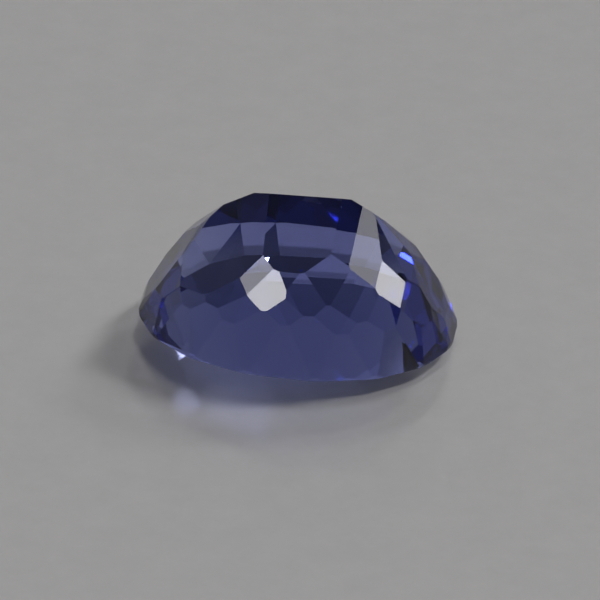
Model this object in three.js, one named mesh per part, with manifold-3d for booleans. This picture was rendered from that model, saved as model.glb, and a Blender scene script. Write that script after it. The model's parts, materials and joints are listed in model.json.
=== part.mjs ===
// A hand-cut oval tanzanite, lying on its table with the deep, faceted pavilion up.
// Millimetres. +X runs along the stone, +Z is up, and the table lies on z = 0.
import * as THREE from "three";
import { mergeVertices } from "three/addons/utils/BufferGeometryUtils.js";
import Module from "manifold-3d";

// Outline of the girdle, an oval with slightly squared shoulders.
const LENGTH = 8.96;
const WIDTH = 6.43;
const SQUARENESS = 2.11;
const OUTLINE_POINTS = 96;

// The girdle is the thin vertical band round the stone. The crown lies under it, one row
// of facets that runs in to the table, whose size is a share of the outline's.
const GIRDLE_TOP = 0.63;
const GIRDLE_THICKNESS = 0.13;
const TABLE_SHARE = 0.72;

// The hand-held cutting left the girdle leaning a little over the table, lower at +X.
const LEAN_DEGREES = 2;

// The facets of a row touch one oval cone. `tip` is the height of the cone's point, and
// `drop` is how far the cone falls from its point to the girdle's outline. `at` gives the
// place round the oval in degrees from +X, in one quarter: the other three mirror it.
const PAVILION = [
  { name: "side main", tip: 4.58, drop: 2.27, at: [90] },
  { name: "upper shoulder", tip: 5.09, drop: 3.03, at: [51.5] },
  { name: "shoulder main", tip: 5.33, drop: 3.66, at: [43.5] },
  { name: "end shoulder", tip: 5.93, drop: 4.42, at: [29] },
  { name: "end main", tip: 6.04, drop: 4.19, at: [0] },
  { name: "upper break", tip: 5.63, drop: 4.04, at: [67.5] },
  { name: "side wedge", tip: 5.68, drop: 3.96, at: [90] },
  { name: "side lozenge", tip: 6.09, drop: 4.63, at: [78.75] },
  { name: "shoulder lozenge", tip: 6.15, drop: 4.82, at: [56.25] },
  { name: "end lozenge", tip: 6.06, drop: 4.61, at: [33.75] },
  { name: "tip lozenge", tip: 6.45, drop: 5.13, at: [11.25] },
  { name: "middle break", tip: 7.41, drop: 6.25, at: [90] },
  { name: "middle break", tip: 7.58, drop: 6.55, at: [67.5] },
  { name: "middle break", tip: 7.45, drop: 6.42, at: [45] },
  { name: "middle break", tip: 8, drop: 7.16, at: [22.5] },
  { name: "middle break", tip: 7.99, drop: 7.27, at: [0] },
  { name: "lower break", tip: 10.42, drop: 9.85, at: [11.25, 33.75, 56.25, 78.75] },
  { name: "girdle break", tip: 12.54, drop: 12.15, at: [0, 22.5, 45, 67.5, 90] },
];

// Facets that the cutter set a little off the even pattern: `turned` is degrees round the
// oval, and `raised` is millimetres that the facet's plane lies higher than its row's.
const OFF_PATTERN = {
  "side main 90": { turned: 6.1, raised: -0.114 },
  "side main -90": { turned: -0.5, raised: 0.043 },
  "upper shoulder -51.5": { turned: 0.4 },
  "shoulder main -43.5": { turned: 1.9, raised: 0.077 },
  "shoulder main -136.5": { turned: -1.6, raised: -0.154 },
  "shoulder main 136.5": { raised: -0.129 },
  "upper break -67.5": { turned: 1.3 },
  "upper break -112.5": { turned: -2.7 },
  "side lozenge -101.25": { turned: -1.2 },
  "shoulder lozenge -56.25": { turned: -1.7 },
  "shoulder lozenge -123.75": { turned: 2.2 },
  "end lozenge -33.75": { turned: 0.3, raised: -0.028 },
  "tip lozenge 168.75": { raised: -0.073 },
  "middle break -45": { turned: -1.5 },
  "middle break -112.5": { turned: 1.3 },
  "middle break 180": { raised: -0.154 },
};

const wasm = await Module();
wasm.setup();

function solidFrom(geometry) {
  const bare = geometry.index ? geometry.toNonIndexed() : geometry.clone();
  bare.deleteAttribute("normal");
  bare.deleteAttribute("uv");
  const merged = mergeVertices(bare, 1e-5);
  return new wasm.Manifold(
    new wasm.Mesh({
      numProp: 3,
      vertProperties: merged.attributes.position.array,
      triVerts: new Uint32Array(merged.index.array),
    }),
  );
}

function signedPower(value, power) {
  return Math.sign(value) * Math.abs(value) ** power;
}

// A point of the oval outline, at a place given in degrees.
function outlineAt(degrees) {
  const angle = THREE.MathUtils.degToRad(degrees);
  const x = (LENGTH / 2) * signedPower(Math.cos(angle), 2 / SQUARENESS);
  const y = (WIDTH / 2) * signedPower(Math.sin(angle), 2 / SQUARENESS);
  return new THREE.Vector2(x, y);
}

// How fast the share of the outline grows outwards there, along X and along Y.
function outwardAt(degrees) {
  const angle = THREE.MathUtils.degToRad(degrees);
  const power = 2 - 2 / SQUARENESS;
  const x = signedPower(Math.cos(angle), power) / (LENGTH / 2);
  const y = signedPower(Math.sin(angle), power) / (WIDTH / 2);
  return new THREE.Vector2(x, y);
}

// The places that mirror `degrees` in the other quarters of the oval.
function roundTheOval(degrees) {
  const places = [degrees, -degrees, 180 - degrees, degrees - 180];
  return [...new Set(places.map((place) => (place === -180 ? 180 : place)))];
}

const leanAxis = new THREE.Vector3(0, 1, 0);
const lean = THREE.MathUtils.degToRad(LEAN_DEGREES);

// The plane of one facet, leaning with the stone. `facing` is 1 for a facet that looks
// up, and -1 for one that looks down, whose cone stands on its point.
function facetPlane(tip, drop, degrees, facing) {
  const outward = outwardAt(degrees).multiplyScalar(drop);
  const normal = new THREE.Vector3(outward.x, outward.y, facing).normalize();
  const point = new THREE.Vector3(0, 0, tip);
  normal.applyAxisAngle(leanAxis, lean);
  point.applyAxisAngle(leanAxis, lean);
  return new THREE.Plane().setFromNormalAndCoplanarPoint(normal, point);
}

// The lap that grinds a facet: a block whose face lies on the facet's plane.
function lap(plane) {
  const size = 6 * LENGTH;
  const block = new THREE.BoxGeometry(size, size, size);
  block.translate(0, 0, size / 2);
  const up = new THREE.Vector3(0, 0, 1);
  const turn = new THREE.Quaternion().setFromUnitVectors(up, plane.normal);
  block.applyQuaternion(turn);
  block.translate(...plane.coplanarPoint(new THREE.Vector3()).toArray());
  return solidFrom(block);
}

// The preform is an upright prism of the girdle's outline.
function preform() {
  const points = [];
  for (let i = 0; i < OUTLINE_POINTS; i += 1) {
    points.push(outlineAt((360 * (i + 0.5)) / OUTLINE_POINTS));
  }
  const tall = LENGTH;
  const prism = new THREE.ExtrudeGeometry(new THREE.Shape(points), {
    depth: tall,
    bevelEnabled: false,
  });
  prism.translate(0, 0, GIRDLE_TOP - tall / 2);
  prism.rotateY(lean);
  return solidFrom(prism);
}

function pavilionPlanes() {
  const planes = [];
  for (const row of PAVILION) {
    for (const place of row.at.flatMap(roundTheOval)) {
      const { turned = 0, raised = 0 } = OFF_PATTERN[`${row.name} ${place}`] ?? {};
      planes.push(facetPlane(row.tip + raised, row.drop, place + turned, 1));
    }
  }
  return planes;
}

// The crown's facets run from the girdle's lower edge in to the table.
function crownPlanes() {
  const lowerEdge = GIRDLE_TOP - GIRDLE_THICKNESS;
  const rise = lowerEdge / (1 - TABLE_SHARE);
  const tip = lowerEdge - rise;
  const places = [0, 22.5, 45, 67.5, 90].flatMap(roundTheOval);
  return places.map((place) => facetPlane(tip, rise, place, -1));
}

let stone = preform();
for (const plane of [...pavilionPlanes(), ...crownPlanes()]) {
  stone = stone.subtract(lap(plane));
}
const table = new THREE.Plane(new THREE.Vector3(0, 0, -1), 0);
stone = stone.subtract(lap(table));

function geometryFrom(solid) {
  const mesh = solid.getMesh();
  const positions = new Float32Array(mesh.numVert * 3);
  for (let i = 0; i < mesh.numVert; i += 1) {
    const start = i * mesh.numProp;
    positions.set(mesh.vertProperties.subarray(start, start + 3), i * 3);
  }
  const geometry = new THREE.BufferGeometry();
  geometry.setAttribute("position", new THREE.BufferAttribute(positions, 3));
  geometry.setIndex(new THREE.BufferAttribute(mesh.triVerts, 1));
  geometry.computeVertexNormals();
  return geometry;
}

const tanzanite = new THREE.MeshStandardMaterial({
  color: 0x3b3f86,
  roughness: 0.03,
  metalness: 0,
  transparent: true,
  opacity: 0.6,
});
const cutStone = new THREE.Mesh(geometryFrom(stone), tanzanite);
cutStone.name = "cut_stone";

const group = new THREE.Group();
group.add(cutStone);

export default group;
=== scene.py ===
# %% [markdown]
# # A cut tanzanite on a glossy sheet
# The object is one faceted gemstone, about 9 mm long, lying face down on its table. This
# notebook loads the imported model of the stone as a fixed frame, gives the stone its real
# facet edges, a ground girdle and a clear blue-violet body, and sets up the sheet and the
# sky that its facets mirror. All lengths are in metres, with +Z up.

import json
import math

import bpy
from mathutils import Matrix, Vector

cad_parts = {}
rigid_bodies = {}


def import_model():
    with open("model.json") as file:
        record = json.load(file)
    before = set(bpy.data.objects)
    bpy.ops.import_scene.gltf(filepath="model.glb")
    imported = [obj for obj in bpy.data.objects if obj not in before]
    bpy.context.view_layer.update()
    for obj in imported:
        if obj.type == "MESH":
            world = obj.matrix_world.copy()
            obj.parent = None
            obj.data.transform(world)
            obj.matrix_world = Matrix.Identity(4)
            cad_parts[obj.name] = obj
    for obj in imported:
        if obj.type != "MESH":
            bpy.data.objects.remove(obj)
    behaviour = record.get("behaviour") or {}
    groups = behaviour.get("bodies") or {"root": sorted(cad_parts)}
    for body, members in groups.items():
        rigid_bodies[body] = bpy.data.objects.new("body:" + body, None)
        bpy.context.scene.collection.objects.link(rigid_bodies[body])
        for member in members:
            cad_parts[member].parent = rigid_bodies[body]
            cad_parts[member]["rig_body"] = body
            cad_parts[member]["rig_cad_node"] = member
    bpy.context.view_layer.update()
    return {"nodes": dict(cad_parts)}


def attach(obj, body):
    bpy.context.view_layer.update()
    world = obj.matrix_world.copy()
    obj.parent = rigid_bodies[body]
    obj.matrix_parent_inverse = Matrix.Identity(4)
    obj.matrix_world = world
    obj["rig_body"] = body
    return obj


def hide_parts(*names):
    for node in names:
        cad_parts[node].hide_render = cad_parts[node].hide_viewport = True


MM = 0.001

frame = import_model()
cad_stone = frame["nodes"]["cut_stone"]


# %% [markdown]
# ## Directions round the stone
# A lamp, the camera and the bright side of the sky are each easiest to say as an azimuth
# and an elevation seen from the stone. Azimuth 0 is on the side of -Y, and 90 is on the
# side of +X. One small helper turns the two angles into a direction for all of them.

# %% Turn an azimuth and an elevation into a direction
def direction(azimuth, elevation):
    a = math.radians(azimuth)
    e = math.radians(elevation)
    return Vector((math.sin(a) * math.cos(e), -math.cos(a) * math.cos(e), math.sin(e)))


# %% [markdown]
# ## Camera
# A gem of this size is photographed from far off with a long lens, so its far and near
# facets are drawn at nearly one scale. A flat camera would do that too, but a real one
# with a very long lens keeps the slight narrowing, so that is what is built here.

# %% Place the camera
VIEW_AZIMUTH = 8.75
VIEW_ELEVATION = 32.3
VIEW_WIDTH = 16.81 * MM
AIM_RIGHT = 0.08 * MM
AIM_UP = 0.88 * MM
LENS = 500.0
SENSOR = 36.0
NEAREST = 0.01
FARTHEST = 10.0

towards_camera = direction(VIEW_AZIMUTH, VIEW_ELEVATION)
view_right = Vector((0, 0, 1)).cross(towards_camera).normalized()
view_up = towards_camera.cross(view_right)
aim = AIM_RIGHT * view_right + AIM_UP * view_up
distance = VIEW_WIDTH * LENS / SENSOR

lens_data = bpy.data.cameras.new("long_lens")
lens_data.lens = LENS
lens_data.sensor_width = SENSOR
lens_data.clip_start = NEAREST
lens_data.clip_end = FARTHEST
camera = bpy.data.objects.new("camera", lens_data)
bpy.context.scene.collection.objects.link(camera)
camera.location = aim + distance * towards_camera
camera.rotation_mode = "QUATERNION"
camera.rotation_quaternion = towards_camera.to_track_quat("Z", "Y")
bpy.context.scene.camera = camera
print("camera distance, mm:", round(distance / MM, 1))

# %% [markdown]
# ## Whole facets
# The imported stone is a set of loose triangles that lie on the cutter's flat planes. On the
# real stone each facet is one flat polygon. The triangles could be used as they are, but
# then no edge is a real edge that can be worked on. So a copy is merged, and its triangles
# are dissolved into whole facets wherever two neighbours lie in one plane.

# %% Copy the stone and dissolve its triangles into facets
WELD = 0.002 * MM
SAME_PLANE = math.radians(0.15)

bpy.ops.object.select_all(action="DESELECT")
cad_stone.select_set(True)
bpy.context.view_layer.objects.active = cad_stone
bpy.ops.object.duplicate()
stone = bpy.context.active_object
stone.name = "polished_stone"
stone.data.name = "polished_stone"
stone.parent = None
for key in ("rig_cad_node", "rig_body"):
    del stone[key]

bpy.ops.object.mode_set(mode="EDIT")
bpy.ops.mesh.select_all(action="SELECT")
bpy.ops.mesh.remove_doubles(threshold=WELD)
bpy.ops.mesh.customdata_custom_splitnormals_clear()
bpy.ops.mesh.dissolve_limited(angle_limit=SAME_PLANE)
bpy.ops.object.mode_set(mode="OBJECT")
print("facets:", len(stone.data.polygons))


# %% [markdown]
# ## One helper for shader nodes
# Every finish below is a small tree of shader nodes: add a node, set it up, then set its
# inputs or link them to what comes before. That could be four or five lines for each node.
# One helper takes the inputs as a dictionary and links the ones that are sockets.

# %% Add a node to a tree
def add_node(tree, kind, inputs=None, **settings):
    """A new node, with its settings made first and then its inputs set or linked."""
    node = tree.nodes.new("ShaderNode" + kind)
    for name, setting in settings.items():
        setattr(node, name, setting)
    for key, value in (inputs or {}).items():
        if isinstance(value, bpy.types.NodeSocket):
            tree.links.new(value, node.inputs[key])
        else:
            node.inputs[key].default_value = value
    return node


# %% [markdown]
# ## Clear blue-violet body
# Tanzanite is a clear crystal: its colour is in its depth, not on its skin. Light that
# crosses a millimetre loses more red and green than blue, so thin corners stay pale and
# long paths turn navy. A tinted skin could not do that, but a volume absorption does, with
# plain values. Its density is set a little above the strongest loss, so that each part of
# its colour is above zero.

# %% Work out the colour and density of the absorption
PASSED_PER_MM = (0.768, 0.788, 0.930)
HEADROOM = 1.02

loss = [-math.log(share) / MM for share in PASSED_PER_MM]
body_density = max(loss) * HEADROOM
body_colour = [1 - part / body_density for part in loss]
print("absorption:", [round(part, 3) for part in body_colour], "density", round(body_density))

# %% [markdown]
# ## Waves and fine lines of the polish
# A lap leaves a facet almost flat. Its polish has a slow, shallow waviness, and very fine
# lines that run one way. Modelled lines would be far too many faces, so both are bumps of
# noise: even noise for the waves, and noise that is drawn out one way for the lines.

# %% Add a bump of noise
LINE_TURN = (0.5, 0.3, math.radians(35))
NOISE_DETAIL = 2.0


def bump(tree, size, stretch, height, under=None):
    """The normal of a bump that is `size` across, drawn out, and laid over another one."""
    place = add_node(tree, "TexCoord").outputs["Object"]
    sides = (1, 1 / stretch, 1)
    turned = add_node(tree, "Mapping", {"Vector": place, "Rotation": LINE_TURN, "Scale": sides})
    noise = add_node(tree, "TexNoise", {
        "Vector": turned.outputs["Vector"],
        "Scale": 1 / size,
        "Detail": NOISE_DETAIL,
    })
    raised = add_node(tree, "Bump", {"Distance": height, "Height": noise.outputs["Fac"]})
    if under:
        tree.links.new(under, raised.inputs["Normal"])
    return raised.outputs["Normal"]


# %% [markdown]
# ## Three skins on one body
# The facets are polished. The girdle is only ground, so it is slightly dull. Where two
# facets meet, handling rounds the edge, and that thin line is a little dull too. All three
# have the same body under them and differ in their skin alone, so one helper makes them.

# %% Make a skin with the stone's body under it
REFRACTIVE_INDEX = 1.69
WAVE_SIZE = 0.9 * MM
WAVE_HEIGHT = 0.0022 * MM
LINE_STRETCH = 14


def stone_material(name, roughness, line_size, line_height):
    material = bpy.data.materials.new(name)
    material.use_nodes = True
    tree = material.node_tree
    waves = bump(tree, WAVE_SIZE, 1, WAVE_HEIGHT)
    lines = bump(tree, line_size, LINE_STRETCH, line_height, under=waves)

    shader = tree.nodes["Principled BSDF"]
    shader.inputs["Base Color"].default_value = (1, 1, 1, 1)
    shader.inputs["Transmission Weight"].default_value = 1.0
    shader.inputs["IOR"].default_value = REFRACTIVE_INDEX
    shader.inputs["Roughness"].default_value = roughness
    tree.links.new(lines, shader.inputs["Normal"])

    body = add_node(tree, "VolumeAbsorption", {"Color": (*body_colour, 1), "Density": body_density})
    tree.links.new(body.outputs["Volume"], tree.nodes["Material Output"].inputs["Volume"])
    print("skin:", name)
    return material


# %% [markdown]
# ## Which face has which skin
# The cutter's girdle is the only part that stands upright, so its faces are found by their
# level normals. That is safer than a list of face numbers, which a new cut would change.

# %% Give each face its skin
SKINS = {
    "tanzanite_polished": {
        "roughness": 0.0,
        "line_size": 0.08 * MM,
        "line_height": 0.0002 * MM,
    },
    "tanzanite_ground_girdle": {
        "roughness": 0.16,
        "line_size": 0.03 * MM,
        "line_height": 0.0010 * MM,
    },
    "tanzanite_worn_edge": {
        "roughness": 0.22,
        "line_size": 0.02 * MM,
        "line_height": 0.0004 * MM,
    },
}
GIRDLE_SKIN = list(SKINS).index("tanzanite_ground_girdle")
EDGE_SKIN = list(SKINS).index("tanzanite_worn_edge")
UPRIGHT = math.sin(math.radians(4))

stone.data.materials.clear()
for name, skin in SKINS.items():
    stone.data.materials.append(stone_material(name, **skin))

girdle = [face for face in stone.data.polygons if abs(face.normal.z) < UPRIGHT]
for face in girdle:
    face.material_index = GIRDLE_SKIN
print("girdle faces:", len(girdle))

# %% [markdown]
# ## Worn edges
# A real facet edge is never quite sharp: it is rounded by about a hundredth of a millimetre
# and glints. Moving vertices by hand would be slow for so many edges, so a bevel modifier
# does it wherever two faces meet at more than a small angle, and gives the new faces their
# own skin. It is applied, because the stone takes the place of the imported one.

# %% Wear the facet edges
EDGE_WIDTH = 0.012 * MM
SHARP = math.radians(2.5)

bevel = stone.modifiers.new("worn edges", "BEVEL")
bevel.width = EDGE_WIDTH
bevel.segments = 1
bevel.limit_method = "ANGLE"
bevel.angle_limit = SHARP
bevel.material = EDGE_SKIN
bpy.ops.object.modifier_apply(modifier=bevel.name)
print("faces with worn edges:", len(stone.data.polygons))

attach(stone, "root")
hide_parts("cut_stone")

# %% [markdown]
# ## The glossy sheet
# The stone lies on a pale, glossy sheet that mirrors it twice: once in its polished top,
# and once in its back, about a millimetre down. A milky plastic does that: some light gets
# through to the back and returns. Two flat planes say it simply: a glossy veil that lets a
# share of the light through, over a glossy back. A thick block would need slow scattering.

# %% Lay the two faces of the sheet
SHEET_DEPTH = 0.96 * MM
SHEET_GAP = 0.004 * MM
SHEET_SIZE = 1.2


def lay_plane(name, below):
    bpy.ops.mesh.primitive_plane_add(size=SHEET_SIZE, location=(0, 0, -below))
    plane = bpy.context.active_object
    plane.name = name
    return plane


bpy.ops.object.select_all(action="DESELECT")
sheet_back = lay_plane("sheet_back", SHEET_DEPTH)
sheet_top = lay_plane("sheet_top", SHEET_GAP)
print("sheet, mm thick:", SHEET_DEPTH / MM)

# %% [markdown]
# ## The sheet's finish
# The plastic is faintly mottled, so noise picks between two close tones. Its gloss is a
# mirror whose share grows towards a grazing view. Light from below must not meet that
# mirror, because a real sheet would let it out, so the share is zero on the lower side.

# %% Paint the sheet
SHEET_TONES = ((0.525, 0.519, 0.523), (0.570, 0.566, 0.567))
TONE_STOPS = (0.3, 0.7)
MOTTLE = {"Scale": 1 / (1.4 * MM), "Detail": 9.0, "Roughness": 0.75}


def sheet_material(name, seen_through, mirror_index, roughness):
    """A pale skin with some see-through and a mirror on its upper side only."""
    material = bpy.data.materials.new(name)
    material.use_nodes = True
    tree = material.node_tree
    tree.nodes.clear()

    place = add_node(tree, "TexCoord").outputs["Object"]
    mottle = add_node(tree, "TexNoise", {"Vector": place, **MOTTLE})
    tones = add_node(tree, "ValToRGB", {"Fac": mottle.outputs["Fac"]})
    for element, stop, tone in zip(tones.color_ramp.elements, TONE_STOPS, SHEET_TONES):
        element.position = stop
        element.color = (*tone, 1)
    pale = add_node(tree, "BsdfDiffuse", {"Color": tones.outputs["Color"]})
    clear = add_node(tree, "BsdfTransparent")
    veil = add_node(tree, "MixShader", {0: seen_through, 1: pale.outputs[0], 2: clear.outputs[0]})

    fresnel = add_node(tree, "Fresnel", {"IOR": mirror_index})
    lower = add_node(tree, "NewGeometry").outputs["Backfacing"]
    upper = add_node(tree, "Math", {0: 1.0, 1: lower}, operation="SUBTRACT")
    share = add_node(tree, "Math", {0: fresnel.outputs[0], 1: upper.outputs[0]}, operation="MULTIPLY")
    mirror = add_node(tree, "BsdfGlossy", {"Roughness": roughness})
    skin = {0: share.outputs[0], 1: veil.outputs[0], 2: mirror.outputs[0]}
    mix = add_node(tree, "MixShader", skin)
    add_node(tree, "OutputMaterial", {"Surface": mix.outputs[0]})
    print("sheet face:", name)
    return material


back_skin = sheet_material("sheet_back", seen_through=0.0, mirror_index=3.2, roughness=0.32)
top_skin = sheet_material("sheet_top", seen_through=0.45, mirror_index=1.9, roughness=0.10)
sheet_back.data.materials.append(back_skin)
sheet_top.data.materials.append(top_skin)

# %% [markdown]
# ## The sky
# A gem shows what stands round it. Behind the stone there is a plain, softly lit wall,
# brightest low down, and the side of the camera is dark. Real walls would stand in the way
# of a camera that is walked round, so all of it is one world shader that depends on the
# direction alone. A ramp over the height is made for the wall and one for the dark side.

# %% Grade the sky over its height
WALL = [(0, 0.50), (15, 0.42), (24, 0.235), (40, 0.215), (50, 0.09), (62, 0.06), (90, 0.07)]
DARK_SIDE = [(0, 0.12), (15, 0.06), (30, 0.02), (45, 0.02), (90, 0.07)]
BLUER = 1.01

world = bpy.data.worlds.new("studio")
bpy.context.scene.world = world
world.use_nodes = True
sky = world.node_tree
sky.nodes.clear()

looked = add_node(sky, "TexCoord").outputs["Generated"]
upward = add_node(sky, "SeparateXYZ", {0: looked}).outputs["Z"]
angle = add_node(sky, "Math", {0: upward}, operation="ARCSINE").outputs[0]
rise = add_node(sky, "Math", {0: angle, 1: math.pi / 2}, operation="DIVIDE").outputs[0]


def height_ramp(stops):
    """The sky's brightness over its height, from stops of (degrees, brightness)."""
    ramp = add_node(sky, "ValToRGB", {"Fac": rise})
    elements = ramp.color_ramp.elements
    for degrees, _ in stops[1:-1]:
        elements.new(degrees / 90)
    for element, (degrees, bright) in zip(elements, stops):
        element.position = degrees / 90
        element.color = (bright, bright, bright * BLUER, 1)
    return ramp.outputs["Color"]


wall = height_ramp(WALL)
dark_side = height_ramp(DARK_SIDE)
print("sky stops:", len(WALL), "and", len(DARK_SIDE))

# %% [markdown]
# ## From the dark side to the wall
# How much of the wall is seen depends on how far a direction faces away from the camera.
# That is the dot product of the level part of the direction with the one away from the
# camera, and it is enough: no angle has to be worked out.

# %% Blend the two sides of the sky
ALL_DARK = -0.4
ALL_WALL = 0.8

away = tuple(-direction(VIEW_AZIMUTH, 0))
flat = add_node(sky, "VectorMath", {0: looked, 1: (1, 1, 0)}, operation="MULTIPLY")
level = add_node(sky, "VectorMath", {0: flat.outputs[0]}, operation="NORMALIZE")
facing = add_node(sky, "VectorMath", {0: level.outputs[0], 1: away}, operation="DOT_PRODUCT")
span = {"Value": facing.outputs["Value"], "From Min": ALL_DARK, "From Max": ALL_WALL}
behind = add_node(sky, "MapRange", span).outputs[0]
blend = add_node(sky, "Mix", {0: behind, 6: dark_side, 7: wall}, data_type="RGBA")
light = blend.outputs[2]
print("wall in full from facing", ALL_WALL)

# %% [markdown]
# ## Six soft lamps
# Two lamps behind the stone light the sheet: one to the right, which draws the shadow on
# the left, and one straight behind, which draws the dark rim of shadow in front. Four
# smaller lamps are there to be mirrored, one by each of the four facets that shine white.
# Each lamp is a round, soft-edged patch of the sky: a facet is flat, so what it mirrors is
# one direction, and the patch on that direction sets how bright the facet is.

# %% Hang the lamps in the sky
# Azimuth, elevation and radius are in degrees, and the last value is the brightness.
LAMPS = {
    "main, right behind": (128, 43, 4.8, 77.0),
    "second, behind": (169, 58.5, 4.6, 41.0),
    "left facet, upper half": (-45, 43, 2.6, 3.0),
    "left facet, lower half": (-23, 36, 2.6, 7.0),
    "right facet, upper half": (81, 46, 2.6, 2.5),
    "right facet, lower half": (89, 32, 2.6, 6.8),
}
LAMP_COLOUR = (1.0, 0.99, 0.98)
RIM = 0.35


def lamp_patch(azimuth, elevation, radius, brightness):
    """The light of one lamp, as a colour over the sky."""
    middle = tuple(direction(azimuth, elevation))
    near = add_node(sky, "VectorMath", {0: looked, 1: middle}, operation="DOT_PRODUCT")
    edge = {
        "Value": near.outputs["Value"],
        "From Min": math.cos(math.radians((1 + RIM) * radius)),
        "From Max": math.cos(math.radians((1 - RIM) * radius)),
        "To Max": brightness,
    }
    power = add_node(sky, "MapRange", edge, interpolation_type="SMOOTHSTEP").outputs[0]
    shine = {0: LAMP_COLOUR, "Scale": power}
    return add_node(sky, "VectorMath", shine, operation="SCALE").outputs[0]


for name, lamp in LAMPS.items():
    both = {0: light, 1: lamp_patch(*lamp)}
    light = add_node(sky, "VectorMath", both, operation="ADD").outputs[0]
    print("lamp:", name)

background = add_node(sky, "Background", {"Color": light})
add_node(sky, "OutputWorld", {"Surface": background.outputs[0]})

# %% [markdown]
# ## Light paths and colours
# Light is reflected many times inside a gem before it comes out, so the renderer is let
# follow it further than usual. The plain view transform keeps the stone's blue as it is.

# %% Set how far light is followed
BOUNCES = 20
BOUNCES_IN_ALL = 24

scene = bpy.context.scene
scene.cycles.max_bounces = BOUNCES_IN_ALL
scene.cycles.glossy_bounces = BOUNCES
scene.cycles.transmission_bounces = BOUNCES
scene.cycles.transparent_max_bounces = BOUNCES
scene.view_settings.view_transform = "Standard"
print("bounces:", BOUNCES_IN_ALL)
